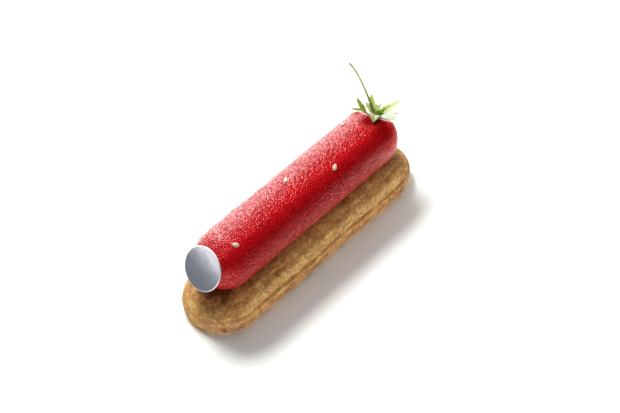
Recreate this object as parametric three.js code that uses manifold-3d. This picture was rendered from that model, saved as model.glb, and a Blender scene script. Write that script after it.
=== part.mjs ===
// Strawberry eclair: a baked choux finger carries a red mousse bar with rounded ends along its back.
// A thin disc closes the near end of the bar, a strawberry calyx with its stalk sits in a dish at the
// far end, and a few seeds lie on the red skin. Millimetres and degrees, +Z up, +X towards the calyx,
// origin in the middle of the choux's flat foot.
import * as THREE from "three";
import { mergeVertices } from "three/addons/utils/BufferGeometryUtils.js";
import Module from "manifold-3d";

// Driving dimensions of the choux finger.
const CHOUX_LENGTH = 140;
const CHOUX_WIDTH = 35.5;
const CHOUX_HEIGHT = 16.4;
const CHOUX_WAIST = 6; // height of the widest level
const CHOUX_TUCK = 2; // how far the foot draws in under the widest level
const DOME_POWER = 2.22; // superellipse power of the domed back
const END_POWER = 2.15; // above 2 the ends are blunter in plan than half circles
const UNEVEN = 0.25; // how far the baked sides wander
const UNEVEN_RUN = 8; // millimetres along the side for each radian of that wander
const UNEVEN_OFFSET = 2.5; // radians, so that the two sides differ

// Rounded ends of the choux: half-length in plan, and fullness, below 1 where an end is blunter than the
// sides. The far end has sagged lower and longer in the oven.
const NEAR_END = { length: 18.5, fullness: 0.75 };
const FAR_END = { length: 22, fullness: 1.2 };

// Grooves that the star nozzle leaves along the sides: height, depth and half-width.
const GROOVES = [
  { height: 8.2, depth: 0.8, reach: 0.85 },
  { height: 13.2, depth: 0.6, reach: 1.0 },
];
const GROOVE_AT_ENDS = 0.35; // share of the depth that is left round the ends

// Driving dimensions of the mousse bar.
const BAR_LENGTH = 125.75;
const BAR_RADIUS = 13.75;
const BAR_SHIFT = -1.1; // middle of the bar along the choux
const BAR_SINK = 1.45; // how far the bar has settled into the choux
const DISH_RADIUS = 8.5; // rim of the dish that holds the calyx
const DISH_DEPTH = 0.5; // its floor below the rim
const DISH_LIFT = 50; // the dish looks up this far above the horizon
const DISH_TURN = 14; // and this far to the left of the bar's axis
const RIM_SOFTNESS = 0.9;
const NOTCH_LIFT = 76; // dent in the skin below the leaf that hangs to the front
const NOTCH_TURN = -120;
const NOTCH_DEPTH = 1.3;
const NOTCH_REACH = 3.1; // radius
const PRESS = 0.5; // flat that the disc presses into the near end
const END_COSINE = 0.5; // the dish and the flat lie within this cosine of their axes

// Driving dimensions of the disc.
const DISC_RADIUS = 10.05;
const DISC_THICKNESS = 1.1;
const DISC_EDGE = 0.2; // bevel
const DISC_LIFT = 23.4; // the disc looks up this far above the horizon
const DISC_TURN = 3.7;
const DISC_DROP = 2.3; // its centre hangs below the middle of the flat
const DISC_ASIDE = 0.3;

// Seeds lie flat on the red skin: place along the bar, angle round it from +Y, and turn on the skin.
const SEED = { length: 3.5, width: 1.95, height: 1.2, lift: 0.1 }; // lift of its middle off the skin
const SEEDS = [
  { along: -50.7, angle: 118, turn: 131 },
  { along: -7.6, angle: 83, turn: 40 },
  { along: 14.5, angle: 125, turn: 26 },
  { along: 37.9, angle: 63, turn: 8 },
  { along: -33, angle: 42, turn: 30 },
  { along: 16, angle: 22, turn: -35 },
  { along: -10, angle: 352, turn: 70 },
];

// Calyx: a small hub, leaves that bend from one lift to another, and a bent stalk. A leaf's start is the
// distance of its root from the hub's middle, and its twist turns the blade about the midrib.
const HUB_RADIUS = 4.2;
const HUB_HEIGHT = 1.3;
const LEAF_THICKNESS = 0.55;
const LEAF_TIP_THICKNESS = 0.5; // share of the thickness that is left at the tip
const LEAF_ROOT_WIDTH = 0.39; // share of the width at the root
const LEAF_SWELL = 1.9; // how fast the blade widens from its root
const LEAF_FOLD = 0.28; // edges stand above the midrib by this share of the half-width
const LEAF_WAVE = 0.35;
const LEAF_WAVES = 1.25; // waves along a leaf's edge
const LEAF_BEND = 2; // above 1 a leaf bends mostly towards its tip
const LEAF_TWISTED = 1 / 3; // share of the length in which a leaf takes its twist
const LEAVES = [
  { turn: 128, start: 2.0, lift: 6, tipLift: -14, length: 10.0, width: 3.0, twist: 20 },
  { turn: 125, start: 3.6, lift: 35, tipLift: 56, length: 8.8, width: 2.3, twist: 70 },
  { turn: 94, start: 1.5, lift: 40, tipLift: 60, length: 6.8, width: 4.2, twist: 0 },
  { turn: 78, start: 0.8, lift: 58, tipLift: 70, length: 10.0, width: 3.2, twist: -30 },
  { turn: 32, start: 1.0, lift: 36, tipLift: 56, length: 7.2, width: 4.6, twist: 0 },
  { turn: -8, start: 1.0, lift: 86, tipLift: 25, length: 10.4, width: 0.8, twist: 0 },
  { turn: -26, start: 0.8, lift: 40, tipLift: 48, length: 13.9, width: 4.3, twist: 22 },
  { turn: -56, start: 1.5, lift: 27, tipLift: 21, length: 10.0, width: 2.6, twist: 20 },
  { turn: -80, start: 2.0, lift: 15, tipLift: -2, length: 8.8, width: 4.6, twist: 45 },
  { turn: -125, start: 3.0, lift: 40, tipLift: 56, length: 6.2, width: 3.4, twist: 0 },
  { turn: -148, start: 1.5, lift: 14, tipLift: -72, length: 11.0, width: 4.4, twist: 0 },
];
const STALK_ROUTE = [
  [0, 0, 0],
  [1, 3.2, 4.5],
  [1, 6.8, 12.6],
  [0, 10.6, 19.2],
  [-1.5, 14.0, 24.6],
];
const STALK_ROOT = 0.85; // radii
const STALK_NECK = 0.62;
const STALK_TIP = 0.45;
const STALK_FLARE = 1 / 3; // share of the length in which the root narrows to the neck

const GAP = 0.3; // clearance between neighbours

// Mesh densities.
const SIDE_STEPS = 24;
const END_STEPS = 18;
const LOWER_LEVELS = 5;
const UPPER_LEVELS = 15;
const BAR_SIDES = 48;
const BAR_CAP_STEPS = 11;
const BAR_RUN_STEPS = 8;
const NOTCH_ROWS = [7, 4.5, 2.5, 1]; // extra rings this far before the far end's centre
const SEED_SIDES = 8;
const SEED_ROWS = 5;
const HUB_SIDES = 16;
const HUB_ROWS = 8;
const LEAF_STEPS = 7;
const LEAF_COLUMNS = 2; // each side of the midrib
const STALK_SIDES = 8;
const STALK_STEPS = 14;
const DISC_SIDES = 48;
const MERGE = 1e-4;

const wasm = await Module();
wasm.setup();

const radians = THREE.MathUtils.degToRad;
const point = (x, y, z) => new THREE.Vector3(x, y, z);
const BAR_HEIGHT = CHOUX_HEIGHT + BAR_RADIUS - BAR_SINK; // height of the bar's axis
const BAR_RUN = BAR_LENGTH / 2 - BAR_RADIUS; // half the straight stretch
const NEAR_CENTRE = point(BAR_SHIFT - BAR_RUN, 0, BAR_HEIGHT);
const FAR_CENTRE = point(BAR_SHIFT + BAR_RUN, 0, BAR_HEIGHT);

// Unit vector that looks along X (sign -1 or 1), raised by lift and turned towards +Y by turn.
function facing(sign, lift, turn) {
  const level = Math.cos(radians(lift));
  return point(
    sign * level * Math.cos(radians(turn)),
    level * Math.sin(radians(turn)),
    Math.sin(radians(lift)),
  );
}

const DISH_AXIS = facing(1, DISH_LIFT, DISH_TURN);
const DISC_AXIS = facing(-1, DISC_LIFT, DISC_TURN);
const NOTCH_PLACE = FAR_CENTRE.clone().addScaledVector(facing(1, NOTCH_LIFT, NOTCH_TURN), BAR_RADIUS);

// Rows of points, each a closed ring of equal length, become one closed mesh. Rows that shrink to a
// line or a point close the surface, because equal points are merged and flat triangles dropped.
function closedSurface(rows) {
  const columns = rows[0].length;
  const corners = [];
  for (let r = 0; r + 1 < rows.length; r++) {
    for (let c = 0; c < columns; c++) {
      const a = r * columns + c;
      const b = r * columns + ((c + 1) % columns);
      corners.push([a, b, b + columns], [a, b + columns, a + columns]);
    }
  }
  const positions = rows.flat().flatMap((p) => p.toArray());
  const loose = new THREE.BufferGeometry();
  loose.setAttribute("position", new THREE.Float32BufferAttribute(positions, 3));
  loose.setIndex(corners.flat());
  const merged = mergeVertices(loose, MERGE);
  const old = merged.index.array;
  const kept = [];
  for (let i = 0; i < old.length; i += 3) {
    const [a, b, c] = [old[i], old[i + 1], old[i + 2]];
    if (a !== b && b !== c && a !== c) kept.push(a, b, c);
  }
  merged.setIndex(kept);
  return merged;
}

// A closed geometry as a solid that can be joined.
function toSolid(geometry) {
  const bare = geometry.clone();
  bare.deleteAttribute("normal");
  bare.deleteAttribute("uv");
  const merged = mergeVertices(bare, MERGE);
  return new wasm.Manifold(
    new wasm.Mesh({
      numProp: 3,
      vertProperties: merged.attributes.position.array,
      triVerts: new Uint32Array(merged.index.array),
    }),
  );
}

function toGeometry(solid) {
  const mesh = solid.getMesh();
  const geometry = new THREE.BufferGeometry();
  geometry.setAttribute("position", new THREE.BufferAttribute(mesh.vertProperties, 3));
  geometry.setIndex(new THREE.BufferAttribute(mesh.triVerts, 1));
  geometry.computeVertexNormals();
  return geometry;
}

function joined(geometries) {
  const solids = geometries.map(toSolid);
  return toGeometry(solids.reduce((whole, next) => whole.add(next)));
}

function named(name, geometry, look) {
  const mesh = new THREE.Mesh(geometry, new THREE.MeshStandardMaterial(look));
  mesh.name = name;
  return mesh;
}

// Half-width and height of the choux's section, level by level from the foot's middle to the ridge.
function chouxLevels() {
  const half = CHOUX_WIDTH / 2;
  const levels = [{ width: 0, height: 0 }];
  for (let i = 0; i <= LOWER_LEVELS; i++) {
    const angle = (Math.PI / 2) * (i / LOWER_LEVELS - 1);
    levels.push({
      width: half - CHOUX_TUCK * (1 - Math.cos(angle)),
      height: CHOUX_WAIST * (1 + Math.sin(angle)),
    });
  }
  for (let i = 1; i <= UPPER_LEVELS; i++) {
    const angle = ((Math.PI / 2) * i) / UPPER_LEVELS;
    const last = i === UPPER_LEVELS;
    levels.push({
      width: last ? 0 : half * Math.cos(angle) ** (2 / DOME_POWER),
      height: CHOUX_WAIST + (CHOUX_HEIGHT - CHOUX_WAIST) * Math.sin(angle) ** (2 / DOME_POWER),
    });
  }
  return levels;
}

function grooveDepth(height) {
  const dents = GROOVES.map((g) => g.depth * Math.exp(-(((height - g.height) / g.reach) ** 2)));
  return dents.reduce((sum, dent) => sum + dent, 0);
}

// Where the plan outline runs: places on the two sides and angles round the two blunt ends.
function chouxPlan() {
  const far = CHOUX_LENGTH / 2 - FAR_END.length;
  const near = NEAR_END.length - CHOUX_LENGTH / 2;
  const blunt = (value) => Math.sign(value) * Math.abs(value) ** (2 / END_POWER);
  const plan = [];
  const end = (middle, from) => {
    for (let i = 0; i < END_STEPS; i++) {
      const angle = radians(from + (180 * i) / END_STEPS);
      const onAxis = i === 0 ? 0 : blunt(Math.cos(angle));
      plan.push({ middle, onward: onAxis, aside: blunt(Math.sin(angle)) });
    }
  };
  const side = (from, to, aside) => {
    for (let i = 0; i < SIDE_STEPS; i++) {
      plan.push({ middle: from + ((to - from) * i) / SIDE_STEPS, onward: 0, aside });
    }
  };
  end(far, -90);
  side(far, near, 1);
  end(near, 90);
  side(near, far, -1);
  return plan;
}

// Underside of the bar above a place on the choux, or Infinity where the bar doesn't reach.
function barUnderside(x, y) {
  const past = Math.max(0, Math.abs(x - BAR_SHIFT) - BAR_RUN);
  const away = Math.hypot(past, y);
  if (away >= BAR_RADIUS) return Infinity;
  return BAR_HEIGHT - Math.sqrt(BAR_RADIUS ** 2 - away ** 2);
}

// The choux finger: its section is carried round the plan outline, and the bar has pressed a bed in it.
function chouxGeometry() {
  const half = CHOUX_WIDTH / 2;
  const plan = chouxPlan();
  const rows = chouxLevels().map(({ width, height }) =>
    plan.map(({ middle, onward, aside }) => {
      const share = width / half;
      const wave = Math.sin(middle / UNEVEN_RUN + UNEVEN_OFFSET * aside);
      const wander = UNEVEN * share * wave * (1 - Math.abs(onward));
      const groove = share * grooveDepth(height) * (1 - (1 - GROOVE_AT_ENDS) * Math.abs(onward));
      const end = onward > 0 ? FAR_END : NEAR_END;
      const x = middle + (end.length - groove) * share ** end.fullness * onward;
      const y = Math.max(0, width + wander - groove) * aside;
      return point(x, y, Math.min(height, barUnderside(x, y) - GAP));
    }),
  );
  return closedSurface(rows);
}

// The smaller of two lengths, rounded off where they cross.
function softMin(a, b, softness) {
  const blend = Math.max(softness - Math.abs(a - b), 0) / softness;
  return Math.min(a, b) - (blend * blend * softness) / 4;
}

// Distance of the near end's skin from its centre in a direction: round, with the disc's flat taken off.
function nearReach(direction) {
  const cos = direction.dot(DISC_AXIS);
  return cos < END_COSINE ? BAR_RADIUS : Math.min(BAR_RADIUS, (BAR_RADIUS - PRESS) / cos);
}

// The same on the straight run: round, with the notch below the front leaf taken off.
function runReach(direction, centre) {
  const away = centre.clone().addScaledVector(direction, BAR_RADIUS).distanceTo(NOTCH_PLACE);
  return BAR_RADIUS - NOTCH_DEPTH * Math.exp(-((away / NOTCH_REACH) ** 2));
}

// The same on the far end: the run's skin carried round, with the calyx's dish taken off.
function farReach(direction, centre) {
  const skin = runReach(direction, centre);
  const cos = direction.dot(DISH_AXIS);
  if (cos < END_COSINE) return skin;
  const rimHeight = Math.sqrt(BAR_RADIUS ** 2 - DISH_RADIUS ** 2);
  const fromAxis = (rimHeight * Math.sqrt(1 - cos * cos)) / cos / DISH_RADIUS;
  const floor = rimHeight - DISH_DEPTH * Math.max(0, 1 - fromAxis ** 2);
  return softMin(skin, floor / cos, RIM_SOFTNESS);
}

// The bar: rings along X from one pole to the other.
function barGeometry() {
  const ring = (centre, tilt, reach) =>
    Array.from({ length: BAR_SIDES }, (_, i) => {
      const angle = (2 * Math.PI * i) / BAR_SIDES;
      const out = Math.cos(tilt);
      const direction = point(Math.sin(tilt), out * Math.cos(angle), out * Math.sin(angle));
      return centre.clone().addScaledVector(direction, reach(direction, centre));
    });
  const rows = [];
  for (let i = 0; i <= BAR_CAP_STEPS; i++) {
    rows.push(ring(NEAR_CENTRE, (Math.PI / 2) * (i / BAR_CAP_STEPS - 1), nearReach));
  }
  for (let i = 1; i < BAR_RUN_STEPS; i++) {
    rows.push(ring(NEAR_CENTRE.clone().lerp(FAR_CENTRE, i / BAR_RUN_STEPS), 0, runReach));
  }
  for (const before of NOTCH_ROWS) {
    rows.push(ring(FAR_CENTRE.clone().sub(point(before, 0, 0)), 0, runReach));
  }
  for (let i = 0; i <= BAR_CAP_STEPS; i++) {
    rows.push(ring(FAR_CENTRE, ((Math.PI / 2) * i) / BAR_CAP_STEPS, farReach));
  }
  return closedSurface(rows);
}

function seedGeometry({ along, angle, turn }) {
  const seed = new THREE.SphereGeometry(0.5, SEED_SIDES, SEED_ROWS);
  seed.scale(SEED.length, SEED.width, SEED.height);
  seed.rotateZ(radians(turn));
  seed.translate(0, 0, BAR_RADIUS + SEED.lift);
  seed.rotateX(radians(angle - 90));
  return seed.translate(along, 0, BAR_HEIGHT);
}

// The disc: a thin plate with bevelled edges, turned about its own axis.
function discGeometry() {
  const inner = DISC_RADIUS - DISC_EDGE;
  const profile = [
    [0, 0],
    [inner, 0],
    [DISC_RADIUS, DISC_EDGE],
    [DISC_RADIUS, DISC_THICKNESS - DISC_EDGE],
    [inner, DISC_THICKNESS],
    [0, DISC_THICKNESS],
  ];
  const outline = profile.map(([radius, height]) => new THREE.Vector2(radius, height));
  return new THREE.LatheGeometry(outline, DISC_SIDES).rotateX(Math.PI / 2);
}

// Half-width of a leaf at a share of its length: narrow root, full middle, pointed tip.
function leafHalfWidth(width, share) {
  return (width / 2) * (1 - share * share) * (LEAF_ROOT_WIDTH + LEAF_SWELL * share);
}

// One leaf: a folded, wavy blade along a bending midrib, in the calyx's own frame with +Z up the stalk.
function leafGeometry({ turn, start, lift, tipLift, length, width, twist }) {
  const outward = point(Math.cos(radians(turn)), Math.sin(radians(turn)), 0);
  const level = point(-outward.y, outward.x, 0);
  const spine = outward.clone().multiplyScalar(start);
  const shares = Array.from({ length: 2 * LEAF_COLUMNS + 1 }, (_, i) => 1 - i / LEAF_COLUMNS);
  const rows = [Array(2 * shares.length).fill(spine.clone())];
  for (let i = 0; i <= LEAF_STEPS; i++) {
    const share = i / LEAF_STEPS;
    const bend = radians(lift + (tipLift - lift) * share ** LEAF_BEND);
    const along = outward.clone().multiplyScalar(Math.cos(bend)).setZ(Math.sin(bend));
    const taken = Math.min(1, share / LEAF_TWISTED);
    const across = level.clone().applyAxisAngle(along, radians(twist) * taken);
    const normal = along.clone().cross(across);
    if (i > 0) spine.addScaledVector(along, length / LEAF_STEPS);
    const half = leafHalfWidth(width, share);
    const thick = LEAF_THICKNESS * (1 - (1 - LEAF_TIP_THICKNESS) * share);
    const sway = LEAF_WAVE * Math.sin(2 * Math.PI * LEAF_WAVES * share + turn) * share * (1 - share) * 4;
    const face = (side) => (v) => {
      const rise = LEAF_FOLD * half * Math.abs(v) + sway * v + (side * thick) / 2;
      return spine.clone().addScaledVector(across, v * half).addScaledVector(normal, rise);
    };
    rows.push([...shares.map(face(1)), ...shares.toReversed().map(face(-1))]);
  }
  rows.push(Array(2 * shares.length).fill(spine.clone()));
  return closedSurface(rows);
}

// The stalk: a tapered tube along a smooth bend. The route is in the part's own directions.
function stalkGeometry(toCalyx) {
  const route = STALK_ROUTE.map((p) => point(...p).applyQuaternion(toCalyx));
  const curve = new THREE.CatmullRomCurve3(route);
  const frames = curve.computeFrenetFrames(STALK_STEPS);
  const rows = [Array(STALK_SIDES).fill(route[0])];
  for (let i = 0; i <= STALK_STEPS; i++) {
    const share = i / STALK_STEPS;
    const neck = STALK_NECK + (STALK_TIP - STALK_NECK) * share;
    const radius = neck + (STALK_ROOT - STALK_NECK) * Math.max(0, 1 - share / STALK_FLARE) ** 2;
    const centre = curve.getPointAt(share);
    rows.push(
      Array.from({ length: STALK_SIDES }, (_, s) => {
        const angle = (2 * Math.PI * s) / STALK_SIDES;
        return centre
          .clone()
          .addScaledVector(frames.normals[i], radius * Math.cos(angle))
          .addScaledVector(frames.binormals[i], radius * Math.sin(angle));
      }),
    );
  }
  rows.push(Array(STALK_SIDES).fill(route.at(-1)));
  return closedSurface(rows);
}

const choux = named("choux", chouxGeometry(), { color: 0xc2965a, roughness: 0.8, metalness: 0 });

const bar = named("mousse_bar", joined([barGeometry(), ...SEEDS.map(seedGeometry)]), {
  color: 0xc4141f,
  roughness: 0.45,
  metalness: 0,
});

// The disc rests on the pressed flat, hung a little below its middle.
const disc = named("silver_disc", discGeometry(), { color: 0xb6bac2, roughness: 0.3, metalness: 0.8 });
const discFrame = new THREE.Group();
const downSlope = point(0, 0, -1).addScaledVector(DISC_AXIS, DISC_AXIS.z).normalize();
const sideways = DISC_AXIS.clone().cross(downSlope);
discFrame.position
  .copy(NEAR_CENTRE)
  .addScaledVector(DISC_AXIS, BAR_RADIUS - PRESS + GAP)
  .addScaledVector(downSlope, DISC_DROP)
  .addScaledVector(sideways, DISC_ASIDE);
discFrame.quaternion.setFromUnitVectors(point(0, 0, 1), DISC_AXIS);
discFrame.add(disc);

// The calyx stands on the dish's floor: hub, leaves and stalk are one grown piece.
const calyxFrame = new THREE.Group();
const dishFloor = Math.sqrt(BAR_RADIUS ** 2 - DISH_RADIUS ** 2) - DISH_DEPTH;
calyxFrame.position
  .copy(FAR_CENTRE)
  .addScaledVector(DISH_AXIS, dishFloor + GAP + HUB_HEIGHT / 2);
calyxFrame.quaternion.setFromUnitVectors(point(0, 0, 1), DISH_AXIS);
const hub = new THREE.SphereGeometry(HUB_RADIUS, HUB_SIDES, HUB_ROWS);
hub.scale(1, 1, HUB_HEIGHT / 2 / HUB_RADIUS);
const stalk = stalkGeometry(calyxFrame.quaternion.clone().invert());
const calyx = named("calyx", joined([hub, stalk, ...LEAVES.map(leafGeometry)]), {
  color: 0xa3bd5c,
  roughness: 0.55,
  metalness: 0,
});
calyxFrame.add(calyx);

const eclair = new THREE.Group();
eclair.add(choux, bar, discFrame, calyxFrame);
export default eclair;
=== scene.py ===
import math

import bmesh
import bpy
import numpy as np
from mathutils import Matrix, Vector, noise
from mathutils.kdtree import KDTree


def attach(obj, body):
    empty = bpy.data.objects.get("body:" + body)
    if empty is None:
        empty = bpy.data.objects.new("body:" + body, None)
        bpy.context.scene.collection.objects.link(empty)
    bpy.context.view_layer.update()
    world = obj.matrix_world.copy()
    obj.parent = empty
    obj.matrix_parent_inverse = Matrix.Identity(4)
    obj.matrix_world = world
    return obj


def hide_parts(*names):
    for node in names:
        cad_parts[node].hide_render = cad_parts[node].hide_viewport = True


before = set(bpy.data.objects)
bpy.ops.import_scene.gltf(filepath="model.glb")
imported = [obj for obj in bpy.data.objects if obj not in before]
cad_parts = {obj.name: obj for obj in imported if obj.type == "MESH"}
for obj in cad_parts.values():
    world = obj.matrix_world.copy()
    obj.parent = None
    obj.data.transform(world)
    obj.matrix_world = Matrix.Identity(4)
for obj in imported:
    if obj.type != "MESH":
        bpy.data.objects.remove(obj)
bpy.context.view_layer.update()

# The choux finger: piped choux paste, baked to a dry golden crust. The star nozzle leaves ridges along
# its sides, the tray leaves its foot flat, and the bar has pressed a shallow bed into its back.
MM = 0.001  # in metres, Blender's unit; the sizes of the eclair are in millimetres
WELD = 0.001  # points closer than this are joined
CHOUX_LENGTH = 140.0
CHOUX_HALF_WIDTH = 17.75
CHOUX_HEIGHT = 16.4
CHOUX_WAIST = 6.0  # height at which it is widest
CHOUX_TUCK = 2.0  # how far the foot is drawn in
DOME_POWER = 2.22
END_POWER = 2.15
NEAR_END_LENGTH, NEAR_FULLNESS = 18.5, 0.75
FAR_END_LENGTH, FAR_FULLNESS = 22.0, 1.2
UNEVEN, UNEVEN_RUN, UNEVEN_LAG = 0.25, 8.0, 2.5  # wander of the sides, its pace, and how they differ
GROOVES = ((8.2, 0.8, 0.85), (13.2, 0.6, 1.0))  # height, depth, half-width
GROOVE_AT_ENDS = 0.35
BAR_RADIUS = 13.75
BAR_LENGTH = 125.75
BAR_SHIFT = -1.1
BAR_SINK = 1.45
BAR_HEIGHT = CHOUX_HEIGHT + BAR_RADIUS - BAR_SINK
BAR_RUN = BAR_LENGTH / 2 - BAR_RADIUS
FOOT_ROWS, SIDE_ROWS, DOME_ROWS = 8, 16, 60
CRUST_STEP = 0.5  # spacing of the mesh along the outline
LUMP_SIZE, LUMP_RISE = 5.0, 0.22
WRINKLE_SIZE, WRINKLE_RISE, WRINKLE_SHIFT = 1.5, 0.09, 31.7
CRUMB_SIZE, CRUMB_RISE, CRUMB_SHIFT = 0.8, 0.045, 11.3
ALONG_STRETCH = 2.2  # lumps and wrinkles are drawn out along the finger
BED_CLEAR, BED_SOFTNESS, BED_GAP = 0.1, 0.8, 0.02  # the relief dies away towards the bar
FOOT_SOFTNESS = 1.5  # and towards the tray
BAKE_AND_SHADE_TONES = (  # height, tone from brown 0 to pale 1: baked bands, with painted shade in the grooves, at the foot and at the top under the bar
    (0, 0.22), (2.5, 0.2), (5.2, 0.17), (6.6, 0.42), (8.3, 0.2), (9.6, 0.46), (10.8, 0.6), (11.8, 0.68),
    (13.2, 0.27), (14.0, 0.46), (15.0, 0.38), (16.4, 0.05),
)
BAKE_AT_ENDS, BAKE_BLEND = 0.35, 0.8  # tone that the ends share, and how far they go over to it
FAR_DARKER = ((6, 0.048), (10, 0.24))  # height, and how much darker the far end is there
LEFT_PAINTED_LIGHT = 0.3  # painted light on the left of the near end, the side that faces the light
PAINTED_LIGHT_ASIDE = ((-0.1, 0), (0.15, 1), (0.45, 0.35))  # place across, from right -1 to left 1, and share
PAINTED_LIGHT_HEIGHTS = ((5, 0.3), (8, 1), (11.5, 1), (12.5, 0))  # height and share
RIGHT_PAINTED_SHADE = 0.1  # painted shade low on the right of the near end, in the shadow of the disc and bar
PAINTED_SHADE_ASIDE = ((-0.4, 1), (-0.1, 0))
PAINTED_SHADE_HEIGHTS = ((8, 1), (10, 0))
PAINTED_SHADE_UNDER_BAR, SHADE_UNDER_REACH, SHADE_UNDER_ALONG = 0.95, 4.5, 0.15  # painted shade below the bar, most at the near end
RELIEF_PAINTED_SHADING = 0.5  # painted light on the lumps and painted shade in the dips, for each millimetre that the relief stands out
BAKED_COLOURS = (  # tone, colour
    (0.0, (0.14, 0.055, 0.017)), (0.14, (0.31, 0.147, 0.046)), (0.4, (0.48, 0.26, 0.088)),
    (0.75, (0.68, 0.43, 0.166)), (1.0, (0.77, 0.545, 0.26)),
)
PATCH_SIZE, PATCH_STRENGTH, PATCH_STRETCH = 4.5, 1.0, (0.65, 1, 1)
FRECKLE_SIZE, FRECKLE_SHARE = 1.3, 0.85
FRECKLE_TINTS = ((0.36, (0.5, 0.43, 0.35)), (0.52, (1.0, 1.0, 1.0)), (0.66, (1.35, 1.37, 1.38)))
HUE_SIZE = 2.6
HUE_TINTS = ((0.35, (1.06, 0.97, 0.88)), (0.65, (0.95, 1.02, 1.04)))
# Painted light warms the hue on the near end's left, and painted shade cools it on its right.
PAINTED_SHADE_TINT, PAINTED_LIGHT_TINT = (1.0, 1.04, 1.3), (1.0, 0.96, 0.75)
CRUST_ROUGHNESS, CRUST_SHINE = 0.72, 0.15
GRAIN_SIZE, GRAIN_DEPTH = 1.0, 0.3


def shader(name):
    """A new material with its node tree, Principled shader and object coordinates in metres."""
    material = bpy.data.materials.new(name)
    material.use_nodes = True
    tree = material.node_tree
    surface = tree.nodes["Principled BSDF"]
    place = tree.nodes.new("ShaderNodeTexCoord").outputs["Object"]
    return material, tree, surface, place


def stretched(tree, place, scale):
    """Coordinates scaled by axis, so that a pattern is drawn out along one of them."""
    mapping = tree.nodes.new("ShaderNodeMapping")
    mapping.inputs["Scale"].default_value = scale
    tree.links.new(place, mapping.inputs["Vector"])
    return mapping.outputs["Vector"]


def noise_field(tree, place, size_mm, detail=2.0, roughness=0.5):
    """Value of a noise pattern whose blobs are about size_mm across."""
    node = tree.nodes.new("ShaderNodeTexNoise")
    node.inputs["Scale"].default_value = 1 / (size_mm * MM)
    node.inputs["Detail"].default_value = detail
    node.inputs["Roughness"].default_value = roughness
    tree.links.new(place, node.inputs["Vector"])
    return node.outputs["Fac"]


def calculated(tree, kind, first, *others):
    """One kind of arithmetic, worked through sockets and numbers in turn."""
    for other in others:
        node = tree.nodes.new("ShaderNodeMath")
        node.operation = kind
        for socket, value in zip(node.inputs, (first, other)):
            if isinstance(value, bpy.types.NodeSocket):
                tree.links.new(value, socket)
            else:
                socket.default_value = value
        first = node.outputs[0]
    return first


def blotches(tree, place, size_mm, strength, detail, roughness):
    """Noise pattern about zero, with a given strength."""
    about_half = noise_field(tree, place, size_mm, detail, roughness)
    return calculated(tree, "MULTIPLY", calculated(tree, "SUBTRACT", about_half, 0.5), strength)


def ramp(tree, value, stops):
    """Colour ramp over a value; stops are (position, colour)."""
    node = tree.nodes.new("ShaderNodeValToRGB")
    elements = node.color_ramp.elements
    while len(elements) < len(stops):
        elements.new(0.5)
    for element, (position, colour) in zip(elements, stops):
        element.position = position
        element.color = (*colour, 1)
    tree.links.new(value, node.inputs["Fac"])
    return node.outputs["Color"]


def mixed(tree, share, first, second, mode="MIX"):
    """Mix of two colours (sockets or plain colours) by a share (socket or number)."""
    node = tree.nodes.new("ShaderNodeMix")
    node.data_type = "RGBA"
    node.blend_type = mode
    for index, value in ((0, share), (6, first), (7, second)):
        if isinstance(value, bpy.types.NodeSocket):
            tree.links.new(value, node.inputs[index])
        else:
            node.inputs[index].default_value = value if index == 0 else (*value, 1)
    return node.outputs[2]


def tinted(tree, colour, tint):
    """A colour multiplied by a tint."""
    return mixed(tree, 1.0, colour, tint, "MULTIPLY")


def attribute(tree, name):
    """Value that the mesh carries at its points under a name."""
    node = tree.nodes.new("ShaderNodeAttribute")
    node.attribute_name = name
    return node.outputs["Fac"]


def bumped(tree, surface, height, depth_mm):
    """Bump of a height field on the shader's normal."""
    node = tree.nodes.new("ShaderNodeBump")
    node.inputs["Strength"].default_value = 1.0
    node.inputs["Distance"].default_value = depth_mm * MM
    tree.links.new(height, node.inputs["Height"])
    tree.links.new(node.outputs["Normal"], surface.inputs["Normal"])
    return node.outputs["Normal"]


def read_off(value, pairs):
    """What a list of (place, amount) pairs gives at a value, with straight lines between the pairs."""
    return np.interp(value, *zip(*pairs))


def ring_faces(rows, columns):
    """Quads of a grid of points whose columns close on themselves."""
    row, column = np.meshgrid(np.arange(rows - 1), np.arange(columns), indexing="ij")
    here = (row * columns + column).ravel()
    beside = (row * columns + (column + 1) % columns).ravel()
    return np.stack([here, beside, beside + columns, here + columns], 1)


def surface_normals(points, quads):
    """Unit normals at the points of a quad mesh."""
    corner = points[quads]
    facing_out = np.cross(corner[:, 2] - corner[:, 0], corner[:, 3] - corner[:, 1])
    normals = np.zeros_like(points)
    for k in range(4):
        np.add.at(normals, quads[:, k], facing_out)
    return normals / np.maximum(np.linalg.norm(normals, axis=1, keepdims=True), 1e-12)


def noise_at(points, size):
    """Smooth noise from -1 to 1 at each point, with blobs about size across."""
    return np.array([noise.noise(Vector(p)) for p in (points / size)])


def piece(name, points, faces, material, node, values):
    """A smooth welded mesh from points in millimetres. It rides on the one body, stands for its CAD
    node and carries named values, numbers or colours, at its points for its material."""
    mesh = bpy.data.meshes.new(name)
    mesh.from_pydata((points * MM).tolist(), [], [list(map(int, f)) for f in faces])
    for key, numbers in values.items():
        numbers = np.asarray(numbers, float)
        if numbers.ndim == 1:
            mesh.attributes.new(key, "FLOAT", "POINT").data.foreach_set("value", numbers)
        else:
            opaque = np.concatenate([numbers, np.ones((len(numbers), 1))], 1)
            mesh.color_attributes.new(key, "FLOAT_COLOR", "POINT").data.foreach_set("color", opaque.ravel())
    work = bmesh.new()
    work.from_mesh(mesh)
    bmesh.ops.remove_doubles(work, verts=work.verts, dist=WELD * MM)
    bmesh.ops.dissolve_degenerate(work, edges=work.edges, dist=WELD * MM)
    work.to_mesh(mesh)
    work.free()
    mesh.polygons.foreach_set("use_smooth", [True] * len(mesh.polygons))
    mesh.materials.append(material)
    made = bpy.data.objects.new(name, mesh)
    bpy.context.scene.collection.objects.link(made)
    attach(made, "root")
    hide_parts(node)
    return made


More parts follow.
